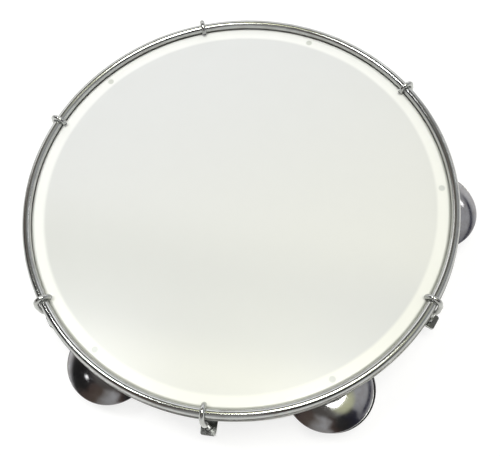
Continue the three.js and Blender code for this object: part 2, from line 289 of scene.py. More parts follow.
def combined(piece, operation, *tools):
    """Cuts the tools out of the piece, or keeps what both fill, and removes the tools. Corners that
    the cut leaves on top of each other become one."""
    for tool in tools:
        cut = piece.modifiers.new(tool.name, "BOOLEAN")
        cut.operation = operation
        cut.object = tool
        cut.solver = "EXACT"
    name = piece.name
    piece.name = "uncut"
    whole = as_made(piece, name)
    remove(*tools)
    form = bmesh.new()
    form.from_mesh(whole.data)
    bmesh.ops.remove_doubles(form, verts=form.verts, dist=MERGE_REACH)
    bmesh.ops.dissolve_degenerate(form, edges=form.edges, dist=MERGE_REACH)
    form.to_mesh(whole.data)
    form.free()
    return whole


def as_made(piece, name, material=None):
    """Replaces a piece by the plain mesh that its modifiers make."""
    graph = bpy.context.evaluated_depsgraph_get()
    mesh = bpy.data.meshes.new_from_object(piece.evaluated_get(graph), depsgraph=graph)
    mesh.name = name
    remove(piece)
    smooth(mesh)
    if material is not None:
        mesh.materials.clear()
        mesh.materials.append(material)
    return new_object(name, mesh)


def finished(piece, body, slot, *nodes):
    """A finished piece rides on its body and stands for its CAD nodes. Its flat faces shade flat,
    and only the narrow rounded edges between them turn the light."""
    weighting = piece.modifiers.new("Weighted normals", "WEIGHTED_NORMAL")
    weighting.keep_sharp = True
    piece = as_made(piece, piece.name, piece.data.materials[0])
    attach(piece, body)
    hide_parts(*nodes)
    return piece


# Node helpers

def feed(tree, socket, value):
    """Links a node or an output to a socket, or sets the socket to a plain value."""
    if isinstance(value, bpy.types.Node):
        value = next(output for output in value.outputs if output.enabled)
    if isinstance(value, bpy.types.NodeSocket):
        tree.links.new(value, socket)
    elif value is not None:
        socket.default_value = value


def add(tree, kind, *values, **settings):
    """Adds a node. The values feed its inputs in order, and None leaves one as it is."""
    node = tree.nodes.new(kind)
    for key, value in settings.items():
        setattr(node, key, value)
    for socket, value in zip([s for s in node.inputs if s.enabled], values):
        feed(tree, socket, value)
    return node


def sum_of(tree, operation, *values):
    return add(tree, "ShaderNodeMath", *values, operation=operation)


def turn_of(tree, place):
    """The turn about Z of a place whose parts are given, in radians."""
    return sum_of(tree, "ARCTAN2", place.outputs["Y"], place.outputs["X"])


def between(tree, value, low, high, start=0.0, end=1.0, smooth_step=False):
    """Stretches a value from low-high to start-end."""
    kind = "SMOOTHSTEP" if smooth_step else "LINEAR"
    return add(
        tree, "ShaderNodeMapRange", value, low, high, start, end, interpolation_type=kind,
    ).outputs["Result"]


def mix(tree, share, first, second):
    """Mixes two colours, with share as the second one's part."""
    return add(tree, "ShaderNodeMix", share, first, second, data_type="RGBA")


def noise(tree, place, size, detail, roughness=0.5):
    """Cloudy noise, with size as the width of its patches."""
    node = add(tree, "ShaderNodeTexNoise", place)
    node.inputs["Scale"].default_value = 1 / size
    node.inputs["Detail"].default_value = detail
    node.inputs["Roughness"].default_value = roughness
    return node.outputs["Fac"]


def along(tree, place, way):
    """How far a place lies along a way through the origin."""
    node = add(tree, "ShaderNodeVectorMath", place, way, operation="DOT_PRODUCT")
    return node.outputs["Value"]


INPUT_KINDS = {
    "length": "NodeSocketFloat", "angle": "NodeSocketFloat", "count": "NodeSocketInt",
    "place": "NodeSocketVector", "piece": "NodeSocketObject", "finish": "NodeSocketMaterial",
}


class Shape:
    """A Geometry Nodes tree with named inputs, each given as name=kind."""

    def __init__(self, name, **inputs):
        self.tree = bpy.data.node_groups.new(name, "GeometryNodeTree")
        sockets = self.tree.interface
        sockets.new_socket("Geometry", in_out="INPUT", socket_type="NodeSocketGeometry")
        sockets.new_socket("Geometry", in_out="OUTPUT", socket_type="NodeSocketGeometry")
        self.identifiers = {}
        for label, kind in inputs.items():
            title = label.replace("_", " ").capitalize()
            socket = sockets.new_socket(title, in_out="INPUT", socket_type=INPUT_KINDS[kind])
            self.identifiers[label] = socket.identifier
        self.given = self.tree.nodes.new("NodeGroupInput")

    def __getattr__(self, label):
        """An input of the tree by its name."""
        wanted = self.__dict__["identifiers"][label]
        return next(s for s in self.given.outputs if s.identifier == wanted)

    def add(self, kind, *values, **settings):
        return add(self.tree, kind, *values, **settings)

    def sum(self, operation, *values):
        return sum_of(self.tree, operation, *values)

    def end(self, geometry):
        """Every tree ends in real faces with their finish."""
        real = self.add("GeometryNodeRealizeInstances", geometry)
        dressed = self.add("GeometryNodeSetMaterial", real, None, self.finish)
        self.add("NodeGroupOutput", dressed)
        return self

    def made_on(self, base, name, **values):
        """Runs the tree on a base object and returns a plain mesh in its place."""
        modifier = base.modifiers.new(self.tree.name, "NODES")
        modifier.node_group = self.tree
        for label, value in values.items():
            modifier[self.identifiers[label]] = value
        return as_made(base, name, values.get("finish"))


def round_the_drum():
    """Sets a piece, which faces +X at its own origin, on each station and turns it outwards."""
    shape = Shape("Round the drum", piece="piece", finish="finish")
    place = shape.add("ShaderNodeSeparateXYZ", shape.add("GeometryNodeInputPosition"))
    turn = turn_of(shape.tree, place)
    facing = shape.add("ShaderNodeCombineXYZ", None, None, turn)
    source = shape.add("GeometryNodeObjectInfo", shape.piece)
    copies = shape.add(
        "GeometryNodeInstanceOnPoints", shape.given.outputs["Geometry"], None,
        source.outputs["Geometry"], None, None, facing,
    )
    return shape.end(copies)


def bent_rod():
    """Sweeps a rod with rounded ends along a path, and rolls a thread on its last stretch."""
    shape = Shape(
        "Bent rod with a thread", rod_radius="length", end_round="length", thread_length="length",
        thread_pitch="length", thread_depth="length", stem_end="place", finish="finish",
    )
    curve = shape.add("GeometryNodeMeshToCurve", shape.given.outputs["Geometry"])
    from_start = shape.add("GeometryNodeSplineParameter").outputs["Length"]
    whole = shape.add("GeometryNodeSplineLength").outputs["Length"]
    from_end = shape.sum("SUBTRACT", whole, from_start)
    nearest = shape.sum("MINIMUM", from_start, from_end)
    share = shape.sum("MINIMUM", shape.sum("DIVIDE", nearest, shape.end_round), 1.0)
    missing = shape.sum("POWER", shape.sum("SUBTRACT", 1.0, share), 2.0)
    rounding = shape.sum("SQRT", shape.sum("SUBTRACT", 1.0, missing))
    in_thread = shape.sum("LESS_THAN", from_end, shape.thread_length)
    depth_share = shape.sum("DIVIDE", shape.thread_depth, shape.rod_radius)
    core = shape.sum("SUBTRACT", 1.0, shape.sum("MULTIPLY", in_thread, depth_share))
    section = shape.add("GeometryNodeCurvePrimitiveCircle", ROD_SIDES, shape.rod_radius)
    scale = shape.sum("MULTIPLY", rounding, core)
    swept = shape.add("GeometryNodeCurveToMesh", curve, section, scale, True)
    rod = shape.add("GeometryNodeMergeByDistance", swept, None, MERGE_REACH)
    rolled = shape.sum("SUBTRACT", shape.thread_length, shape.thread_pitch)
    turns = shape.sum("DIVIDE", rolled, shape.thread_pitch)
    root = shape.sum("SUBTRACT", shape.rod_radius, shape.thread_depth)
    helix = shape.add("GeometryNodeCurveSpiral", THREAD_STEPS, turns, root, root, rolled, False)
    upright = shape.add("GeometryNodeSetCurveNormal", helix, mode="Z_UP")
    ridge = shape.add("GeometryNodeCurvePrimitiveCircle", THREAD_SIDES, shape.thread_depth)
    thread = shape.add("GeometryNodeCurveToMesh", upright, ridge, None, True)
    above = shape.add("ShaderNodeCombineXYZ", None, None, shape.thread_pitch)
    start = shape.add("ShaderNodeVectorMath", shape.stem_end, above, operation="ADD")
    seated = shape.add("GeometryNodeTransform", thread, start)
    joined = shape.add("GeometryNodeJoinGeometry")
    for part in (rod, seated):
        shape.tree.links.new(part.outputs["Geometry"], joined.inputs[0])
    return shape.end(joined)


def struck_cup():
    """Draws a ring of sheet metal, domed between its crown and its rim, on the point given. With
    no rise it is a flat disc. The sheet's own place is kept for its finish."""
    shape = Shape(
        "Struck cup", rim_radius="length", hole_radius="length", crown_radius="length",
        rise="length", sheet="length", turn_over="angle", finish="finish",
    )
    grid = shape.add("GeometryNodeMeshGrid", 1.0, 1.0, CUP_TURN_POINTS, CUP_RADIUS_POINTS)
    place = shape.add("ShaderNodeSeparateXYZ", shape.add("GeometryNodeInputPosition"))
    turn = shape.sum("MULTIPLY", place.outputs["X"], 2 * math.pi)
    share = shape.sum("ADD", place.outputs["Y"], 0.5)
    width = shape.sum("SUBTRACT", shape.rim_radius, shape.hole_radius)
    radius = shape.sum("MULTIPLY_ADD", share, width, shape.hole_radius)
    beyond = shape.sum("MAXIMUM", shape.sum("SUBTRACT", radius, shape.crown_radius), 0.0)
    dome_width = shape.sum("SUBTRACT", shape.rim_radius, shape.crown_radius)
    fall = shape.sum("POWER", shape.sum("DIVIDE", beyond, dome_width), 2.0)
    height = shape.sum("MULTIPLY", shape.rise, shape.sum("SUBTRACT", 1.0, fall))
    x = shape.sum("MULTIPLY", radius, shape.sum("COSINE", turn))
    y = shape.sum("MULTIPLY", radius, shape.sum("SINE", turn))
    polar = shape.add("ShaderNodeCombineXYZ", x, y, height)
    open_ring = shape.add("GeometryNodeSetPosition", grid, None, polar)
    under = shape.add("GeometryNodeMergeByDistance", open_ring, None, MERGE_REACH)
    upper = shape.add(
        "GeometryNodeExtrudeMesh", shape.add("GeometryNodeFlipFaces", under), None,
        shape.add("ShaderNodeCombineXYZ", None, None, shape.sheet), 1.0, False,
    )
    both = shape.add("GeometryNodeJoinGeometry")
    shape.tree.links.new(under.outputs[0], both.inputs[0])
    shape.tree.links.new(upper.outputs[0], both.inputs[0])
    sheet = shape.add("GeometryNodeMergeByDistance", both, None, MERGE_REACH)
    kept = shape.add(
        "GeometryNodeStoreNamedAttribute", sheet, None, "struck",
        shape.add("GeometryNodeInputPosition"), data_type="FLOAT_VECTOR",
    )
    over = shape.add("ShaderNodeCombineXYZ", shape.turn_over)
    laid = shape.add("GeometryNodeTransform", kept, None, over)
    set_down = shape.add(
        "GeometryNodeInstanceOnPoints", shape.given.outputs["Geometry"], None, laid,
    )
    return shape.end(set_down)


# Finishes

class Finish:
    """A material's nodes round one Principled shader."""

    def __init__(self, name, **settings):
        self.material = bpy.data.materials.new(name)
        self.material.use_nodes = True
        self.tree = self.material.node_tree
        self.shader = self.tree.nodes["Principled BSDF"]
        self.place = self.add("ShaderNodeTexCoord").outputs["Object"]
        for label, value in settings.items():
            self.shader.inputs[label.replace("_", " ").title()].default_value = value

    def add(self, kind, *values, **settings):
        return add(self.tree, kind, *values, **settings)

    def sum(self, operation, *values):
        return sum_of(self.tree, operation, *values)

    def feed(self, label, value):
        feed(self.tree, self.shader.inputs[label], value)

    def noise(self, size, detail=2.0, roughness=0.5, place=None):
        return noise(self.tree, place or self.place, size, detail, roughness)

    def between(self, value, low, high, start=0.0, end=1.0, smooth_step=False):
        return between(self.tree, value, low, high, start, end, smooth_step)

    def mix(self, share, first, second):
        return mix(self.tree, share, first, second)

    def axis_distance(self, place=None):
        """The distance from the Z axis."""
        flat = self.add(
            "ShaderNodeVectorMath", place or self.place, (1, 1, 0), operation="MULTIPLY",
        )
        return self.add("ShaderNodeVectorMath", flat, operation="LENGTH").outputs["Value"]

    def round_place(self, across, turned, up):
        """The distance from the drum's axis, the turn round it and the height, each scaled."""
        parts = self.add("ShaderNodeSeparateXYZ", self.place)
        return self.add(
            "ShaderNodeCombineXYZ", self.sum("MULTIPLY", self.axis_distance(), across),
            self.sum("MULTIPLY", turn_of(self.tree, parts), turned),
            self.sum("MULTIPLY", parts.outputs["Z"], up),
        )

    def bump(self, height, depth, strength):
        """Relief of a pattern from 0 to 1 over a real depth."""
        node = self.add("ShaderNodeBump")
        node.inputs["Strength"].default_value = strength
        node.inputs["Distance"].default_value = depth
        feed(self.tree, node.inputs["Height"], height)
        self.feed("Normal", node)


# The film's colours, and how far from the axis or along a way each of its bands reaches
FILM_COOL = (0.745, 0.755, 0.765, 1)
# Warmer and yellower towards the near rim
FILM_NEAR_WARM = (0.775, 0.78, 0.73, 1)
# Painted shade: a darker colour across the near half of the film
FILM_DIP_SHADE = (0.7, 0.71, 0.69, 1)
# Painted light: the band over the shell's edge is painted lighter, as if the lit white shell showed
# through the film
FILM_BACKING_GLOW_FAR = (0.955, 0.96, 0.955, 1)
FILM_BACKING_GLOW_NEAR = (0.89, 0.895, 0.83, 1)
# Painted light and shade on the film's falling edge: lighter towards the far rim, darker towards the
# near rim
FILM_FALL_PAINTED_LIGHT_FAR = (0.95, 0.955, 0.95, 1)
FILM_FALL_PAINTED_SHADE_NEAR = (0.42, 0.43, 0.38, 1)
# Painted shade: grey spots where the pin heads would show through the film
FILM_PIN_SHOW_THROUGH_SHADE = (0.66, 0.68, 0.64, 1)
FILM_GRAIN = (0.6, 0.61, 0.59, 1)
FILM_SHINE_THROUGH = (0.85, 0.86, 0.82, 1)
FILM_THROUGH_SHARE = 0.12
FILM_NEAR_WAY = (0.35, -1, 0)
FILM_NEAR_REACH = 140 * MM
FILM_DIP_SHADE_WAY = (-0.25, -1, 0)
FILM_DIP_SHADE_START = (5 * MM, 60 * MM)
FILM_DIP_SHADE_END = (116 * MM, 84 * MM)
BACKED_START = SHELL_INNER_RADIUS - 1.6 * MM
BACKED_FULL = SHELL_INNER_RADIUS + 0.9 * MM
FALL_START = SHELL_RADIUS - FILM_FLAT_INSET
FALL_FULL = SHELL_RADIUS + 1.2 * MM
PIN_BLUR = 0.5 * MM

# The other finishes
SHELL_WHITE = (0.84, 0.84, 0.81, 1)
SHELL_CREAM = (0.8, 0.8, 0.77, 1)
DRAWN_LINES_PER_RADIAN = 6


def coated_film():
    """Milky film, with painted light and shade: painted light where the lit shell's edge shows
    through it, painted shade over the pin heads and in a band across its near half, painted shade on
    its falling edge towards the near rim and painted light on it towards the far rim. It is warmer
    towards the near rim, with a fine grain."""
    finish = Finish("Coated film")
    drift = finish.sum("MULTIPLY_ADD", finish.noise(40 * MM), 0.8 * MM, -0.4 * MM)
    distance = finish.sum("ADD", finish.axis_distance(), drift)
    backed = finish.between(distance, BACKED_START, BACKED_FULL, smooth_step=True)
    nearness = along(finish.tree, finish.place, FILM_NEAR_WAY)
    near_share = finish.between(nearness, -FILM_NEAR_REACH, FILM_NEAR_REACH, smooth_step=True)
    # painted shade in a band across the film's near half
    band = along(finish.tree, finish.place, FILM_DIP_SHADE_WAY)
    start = finish.between(band, *FILM_DIP_SHADE_START, smooth_step=True)
    end = finish.between(band, *FILM_DIP_SHADE_END, smooth_step=True)
    dullness_and_shade = finish.sum("MULTIPLY", start, end)
    shaded = finish.mix(dullness_and_shade, finish.mix(near_share, FILM_COOL, FILM_NEAR_WARM), FILM_DIP_SHADE)
    # painted light of the lit shell edge showing through the film
    white = finish.mix(near_share, FILM_BACKING_GLOW_FAR, FILM_BACKING_GLOW_NEAR)
    # painted shade on the falling edge towards the near rim, painted light towards the far rim
    past = finish.between(distance, FALL_START, FALL_FULL, smooth_step=True)
    edge = finish.mix(near_share, FILM_FALL_PAINTED_LIGHT_FAR, FILM_FALL_PAINTED_SHADE_NEAR)
    colour = finish.mix(past, finish.mix(backed, shaded, white), edge)
    # painted shade over each pin head
    for pin in PINS:
        away = finish.add(
            "ShaderNodeVectorMath", finish.place, (pin.x, pin.y, 0), operation="DISTANCE",
        ).outputs["Value"]
        pin_shade_share = finish.between(
            away, PIN_HEAD_RADIUS + PIN_BLUR, PIN_HEAD_RADIUS - PIN_BLUR, smooth_step=True,
        )
        colour = finish.mix(pin_shade_share, colour, FILM_PIN_SHOW_THROUGH_SHADE)
    grain = finish.between(finish.noise(14 * MM, 3, 0.6), 0.25, 0.75, end=0.05)
    finish.feed("Base Color", finish.mix(grain, colour, FILM_GRAIN))
    haze = finish.noise(20 * MM, 3, 0.6)
    finish.feed("Roughness", finish.between(haze, 0.2, 0.8, start=0.24, end=0.27))
    finish.bump(finish.noise(0.35 * MM), depth=0.006 * MM, strength=0.6)
    through = finish.add("ShaderNodeBsdfTranslucent", FILM_SHINE_THROUGH)
    seen = finish.add("ShaderNodeMixShader", FILM_THROUGH_SHARE, finish.shader, through)
    output = finish.tree.nodes["Material Output"]
    finish.tree.links.new(seen.outputs[0], output.inputs["Surface"])
    return finish.material


def moulded_shell():
    """White glossy plastic with the faint orange peel and scuffs of a moulded shell."""
    finish = Finish("Moulded white shell")
    cloud = finish.between(finish.noise(60 * MM, 3), 0.3, 0.7)
    finish.feed("Base Color", finish.mix(cloud, SHELL_WHITE, SHELL_CREAM))
    scuff = finish.noise(8 * MM, 3)
    finish.feed("Roughness", finish.between(scuff, 0.3, 0.75, start=0.25, end=0.36))
    finish.bump(finish.noise(2.2 * MM), depth=0.02 * MM, strength=0.5)
    return finish.material


def drawn_metal(name, colour, worn, roughness, line_width, line_depth, line_strength):
    """Plated wire or sheet: fine drawing lines run round the drum, with dull spots between."""
    finish = Finish(name, metallic=1.0)
    tarnish = finish.between(finish.noise(9 * MM, 3), 0.45, 0.8)
    finish.feed("Base Color", finish.mix(tarnish, colour, worn))
    smear = finish.noise(9 * MM, 3)
    dullness_and_shade = finish.between(smear, 0.3, 0.7, start=roughness * 0.85, end=roughness * 1.35)
    finish.feed("Roughness", dullness_and_shade)
    way = finish.round_place(1 / line_width, DRAWN_LINES_PER_RADIAN, 1 / line_width)
    finish.bump(finish.noise(1.0, 3, 0.7, way), line_depth, line_strength)
    return finish.material


def turned_steel(name, colour, worn, roughness):
    """Zinc-plated small parts with a speckled passivated skin."""
    finish = Finish(name, metallic=1.0)
    speckle = finish.between(finish.noise(1.3 * MM, 4, 0.7), 0.4, 0.75)
    finish.feed("Base Color", finish.mix(speckle, colour, worn))
    skin = finish.noise(0.8 * MM, 3)
    dullness_and_shade = finish.between(skin, 0.3, 0.75, start=roughness, end=roughness * 1.8)
    finish.feed("Roughness", dullness_and_shade)
    finish.bump(finish.noise(0.3 * MM), depth=0.01 * MM, strength=0.4)
    return finish.material


def dark_nickel(name, colour, worn, roughness):
    """Struck jingle metal under dark nickel: rings left by the polishing wheel round each piece's
    own centre, shallow dents, and hazy and worn spots."""
    finish = Finish(name, metallic=1.0)
    struck = finish.add("ShaderNodeAttribute", attribute_name="struck").outputs["Vector"]
    haze = finish.between(finish.noise(7 * MM, 4, 0.65), 0.4, 0.8)
    finish.feed("Base Color", finish.mix(haze, colour, worn))
    spots = finish.noise(3 * MM, 5, 0.7)
    dullness_and_shade = finish.between(spots, 0.3, 0.8, start=roughness, end=roughness * 2.2)
    finish.feed("Roughness", dullness_and_shade)
    ring_place = finish.add("ShaderNodeCombineXYZ", finish.axis_distance(struck))
    rings = finish.noise(0.25 * MM, 2, 0.6, ring_place)
    dents = finish.noise(5 * MM, 1)
    relief = finish.sum("MULTIPLY_ADD", dents, 3.0, rings)
    finish.bump(relief, depth=0.006 * MM, strength=0.6)
    return finish.material


# The head and the shell

def make_film(finish):
    """The film lies flat to the shell's rounded edge, falls over it and stands as a collar in the
    flesh hoop."""
    flat, bend = SHELL_RADIUS - FILM_FLAT_INSET, FILM_BEND
    turn = math.radians(FILM_FALL_ANGLE)
    fall = Vector((math.sin(turn), math.cos(turn)))
    knee = Vector((flat + bend * fall.x, bend * fall.y - bend))
    reach = (COLLAR_RADIUS - FILM_COLLAR_ROUND * (1 - fall.x) - knee.x) / fall.y
    foot = Vector((knee.x + reach * fall.y, knee.y - reach * fall.x))
    collar_centre = foot - FILM_COLLAR_ROUND * fall
    inner_round = FILM_COLLAR_ROUND - FILM_THICKNESS
    rings = [flat * share for share in HEAD_RINGS]
    outline = [(0, -FILM_THICKNESS)]
    outline += [(radius, -FILM_THICKNESS) for radius in rings]
    outline += arc(
        (flat, -bend), bend - FILM_THICKNESS, 90, 90 - FILM_FALL_ANGLE, BEND_STEPS,
    )
    outline += arc(collar_centre, inner_round, 90 - FILM_FALL_ANGLE, 0, COLLAR_STEPS)
    outline += [(COLLAR_RADIUS - FILM_THICKNESS, COLLAR_BOTTOM), (COLLAR_RADIUS, COLLAR_BOTTOM)]
    outline += arc(collar_centre, FILM_COLLAR_ROUND, 0, 90 - FILM_FALL_ANGLE, COLLAR_STEPS)
    outline += arc((flat, -bend), bend, 90 - FILM_FALL_ANGLE, 90, BEND_STEPS)
    outline += [(radius, 0) for radius in reversed(rings)]
    outline += [(0, 0)]
    film = lathe("film_head", outline, ring=False)
    film.data.materials.append(finish)
    return finished(film, "drum", "film", "head_film")


def make_flesh_hoop(finish):
    """A channel open upwards: the film's collar stands in it, and the wire sits on its wall."""
    groove_inner = COLLAR_RADIUS - FILM_THICKNESS - SEAT_GAP
    groove_outer = COLLAR_RADIUS + SEAT_GAP
    groove_floor = COLLAR_BOTTOM - SEAT_GAP
    lip_top = -FLESH_LIP_DROP
    inner = SHELL_RADIUS + FLESH_INNER_CLEARANCE
    outline = [(inner, FLESH_BOTTOM)]
    for out, up in arc((0, 0), 1, 270, 360, FOOT_STEPS):
        outline.append((
            FLESH_OUTER_RADIUS + (out - 1) * FLESH_FOOT_WIDTH,
            FLESH_BOTTOM + (up + 1) * FLESH_FOOT_HEIGHT,
        ))
    top_round = (FLESH_OUTER_RADIUS - FLESH_TOP_ROUND, FLESH_TOP - FLESH_TOP_ROUND)
    outline += arc(top_round, FLESH_TOP_ROUND, 0, 90, EDGE_STEPS)
    outline += [(groove_outer, FLESH_TOP), (groove_outer, groove_floor)]
    outline += [(groove_inner, groove_floor), (groove_inner, lip_top), (inner, lip_top)]
    hoop = lathe("rolled_flesh_hoop", outline)
    hoop.data.materials.append(finish)
    return finished(hoop, "drum", "flesh_hoop", "flesh_hoop")


def make_counter_hoop(finish):
    section = arc((WIRE_RING_RADIUS, WIRE_HEIGHT), WIRE_RADIUS, 0, 360, WIRE_SIDES)[:-1]
    hoop = lathe("wire_counter_hoop", section, WIRE_STEPS)
    hoop.data.materials.append(finish)
    return finished(hoop, "drum", "chrome", "counter_hoop")


def make_shell(finish, round_drum):
    rounding = SHELL_EDGE_ROUND
    inner, outer = SHELL_INNER_RADIUS + rounding, SHELL_RADIUS - rounding
    outline = arc((inner, BACK_RIM + rounding), rounding, 180, 270, RIM_STEPS)
    outline += arc((outer, BACK_RIM + rounding), rounding, 270, 360, RIM_STEPS)
    outline += arc((outer, SHELL_TOP - rounding), rounding, 0, 90, RIM_STEPS)
    outline += arc((inner, SHELL_TOP - rounding), rounding, 90, 180, RIM_STEPS)
    ring = lathe("slotted_shell", outline, SHELL_STEPS)
    reach = 2 * (SHELL_RADIUS - SHELL_INNER_RADIUS)
    opening = rounded_rectangle(SLOT_HEIGHT, SLOT_WIDTH, SLOT_CORNER_ROUND)
    slot = prism("slot", opening, -reach, reach)
    slots = set_round(round_drum, turned(slot, (90, "Y")), PINS, SLOT_MIDDLE, "slots")
    gap = SEAT_GAP
    head_floor = PIN_TOP - PIN_HEAD_HEIGHT - gap
    pin_hole = lathe("pin_hole", [
        (0, PIN_END - gap), (PIN_RADIUS + gap, PIN_END - gap), (PIN_RADIUS + gap, head_floor),
        (PIN_HEAD_RADIUS + gap, head_floor), (PIN_HEAD_RADIUS + gap, 0), (0, 0),
    ], HOLE_STEPS, ring=False)
    pin_holes = set_round(round_drum, pin_hole, PINS, 0, "pin_holes")
    hole = lathe("screw_hole", [
        (0, -SCREW_BITE - gap), (SCREW_SHANK_RADIUS + gap, -SCREW_BITE - gap),
        (SCREW_SHANK_RADIUS + gap, reach), (0, reach),
    ], SCREW_HOLE_STEPS, ring=False)
    moved(turned(hole, (90, "Y")), x=SHELL_RADIUS - STEM_RADIUS)
    screw_holes = set_round(round_drum, hole, STEMS, SCREW_HEIGHT, "screw_holes")
    shell = combined(ring, "DIFFERENCE", slots, pin_holes, screw_holes)
    rounded = bevelled(shell, SLOT_EDGE_ROUND, segments=3, angle=CUT_EDGE_ANGLE)
    shell = as_made(rounded, "slotted_shell", finish)
    return finished(shell, "drum", "shell", "shell")


# What stands round the drum

def set_round(round_drum, piece, stations, height, name, finish=None):
    """One mesh with the piece set on every station. The piece itself goes."""
    base = points(name + "_stations", [(x, y, height) for x, y in stations])
    whole = round_drum.made_on(base, name, piece=piece, finish=finish)
    remove(piece)
    return whole


def copied(piece):
    return new_object(piece.name + "_copy", piece.data.copy())


def make_pins(finish, round_drum):
    edge = PIN_EDGE_ROUND
    pin = lathe("pin", [
        (0, PIN_END), (PIN_RADIUS - edge, PIN_END), (PIN_RADIUS, PIN_END + edge),
        (PIN_RADIUS, PIN_TOP - PIN_HEAD_HEIGHT), (PIN_HEAD_RADIUS, PIN_TOP - PIN_HEAD_HEIGHT),
        *arc((PIN_HEAD_RADIUS - edge, PIN_TOP - edge), edge, 0, 90, EDGE_STEPS), (0, PIN_TOP),
    ], PIN_STEPS, ring=False)
    pins = set_round(round_drum, pin, PINS, 0, "jingle_pins", finish)
    return finished(pins, "drum", "pin", *[f"jingle_pin_{i}" for i in STATIONS])


def make_screws(finish, round_drum):
    """Pan heads with a cross recess."""
    top, tip = SCREW_HEAD_HEIGHT, SHELL_RADIUS - SCREW_BITE - SCREW_SEAT
    crown = [(SCREW_HEAD_RADIUS * out, top * up) for out, up in SCREW_CROWN]
    head = lathe("head", [
        (0, tip), (SCREW_SHANK_RADIUS, tip), (SCREW_SHANK_RADIUS, 0), (SCREW_HEAD_RADIUS, 0),
        *crown, (0, top),
    ], SCREW_STEPS, ring=False)
    arm, half = RECESS_LENGTH / 2, RECESS_WIDTH / 2
    cross = [(arm, -half), (arm, half), (half, half)]
    for _ in range(3):
        cross += [(-y, x) for x, y in cross[-3:]]
    recess = prism("recess", cross, top - RECESS_DEPTH, top + RECESS_DEPTH)
    screw = combined(head, "DIFFERENCE", recess)
    moved(turned(screw, (45, "Z"), (90, "Y")), x=SCREW_SEAT - STEM_RADIUS)
    screws = set_round(round_drum, screw, STEMS, SCREW_HEIGHT, "bracket_screws", finish)
    return finished(screws, "drum", "fastener", *[f"bracket_screw_{i}" for i in HOOKS])


def make_brackets(finish, round_drum):
    """The first bracket's own sheet, with its sharp edges broken, set round the drum."""
    form = bmesh.new()
    form.from_mesh(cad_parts["bracket_1"].data)
    bmesh.ops.remove_doubles(form, verts=form.verts, dist=MERGE_REACH)
    bmesh.ops.dissolve_limit(
        form, angle_limit=math.radians(1), verts=form.verts, edges=form.edges,
    )
    sheet = plain_mesh("sheet", form)
    turn = math.degrees(math.atan2(STEMS[0].y, STEMS[0].x))
    moved(turned(sheet, (-turn, "Z")), x=-STEM_RADIUS)
    bracket = as_made(bevelled(sheet, BRACKET_EDGE_ROUND, angle=CUT_EDGE_ANGLE), "bracket")
    brackets = set_round(round_drum, bracket, STEMS, 0, "bent_brackets", finish)
    return finished(brackets, "drum", "bracket", *[f"bracket_{i}" for i in HOOKS])


def hook_line():
    """The rod's axis in the plane of its hook, from the tip inside the wire to the stem's end."""
    bend = HOOK_TOP - ROD_RADIUS - WIRE_HEIGHT
    side = WIRE_RING_RADIUS + WIRE_RADIUS + ROD_CLEARANCE + ROD_RADIUS
    knee_top = FLESH_BOTTOM - HOOK_KNEE_DROP
    knee_bottom = knee_top - HOOK_KNEE_LENGTH
    line = arc((WIRE_RING_RADIUS, WIRE_HEIGHT), bend, 180, 0, HOOK_TOP_STEPS)
    line += [(side, FLESH_TOP), (side, FLESH_BOTTOM)]
    for i in range(KNEE_STEPS + 1):
        share = i / KNEE_STEPS
        eased = share * share * (3 - 2 * share)
        radius = side + (STEM_RADIUS - side) * eased
        line.append((radius, knee_top + (knee_bottom - knee_top) * share))
    line += [(STEM_RADIUS, STEM_END + THREAD_LENGTH), (STEM_RADIUS, STEM_END)]
    return [(radius - STEM_RADIUS, 0, height) for radius, height in line]


def close_to_ends(line, reach):
    """Adds points near both ends of a line, so that a sweep can round them."""
    def stretch(end, towards):
        end, towards = Vector(end), Vector(towards)
        way = (towards - end).normalized() * reach
        quarter = [math.pi / 2 * i / ROD_END_STEPS for i in range(ROD_END_STEPS + 1)]
        return [tuple(end + way * (1 - math.cos(angle))) for angle in quarter]

    first = stretch(line[0], line[1])
    last = stretch(line[-1], line[-2])
    return first + line[1:-1] + last[::-1]


def make_hooks(finish, round_drum):
    rod = bent_rod()
    line = close_to_ends(hook_line(), HOOK_END_ROUND)
    hook = rod.made_on(
        path("hook_path", line), "hook", rod_radius=ROD_RADIUS, end_round=HOOK_END_ROUND,
        thread_length=THREAD_LENGTH, thread_pitch=THREAD_PITCH, thread_depth=THREAD_DEPTH,
        stem_end=(0, 0, STEM_END), finish=finish,
    )
    for i, stem in zip(HOOKS, STEMS):
        piece = set_round(round_drum, copied(hook), [stem], 0, f"wire_hook_{i}", finish)
        finished(piece, f"hook_{i}", "chrome", f"tension_hook_{i}")
    remove(hook)


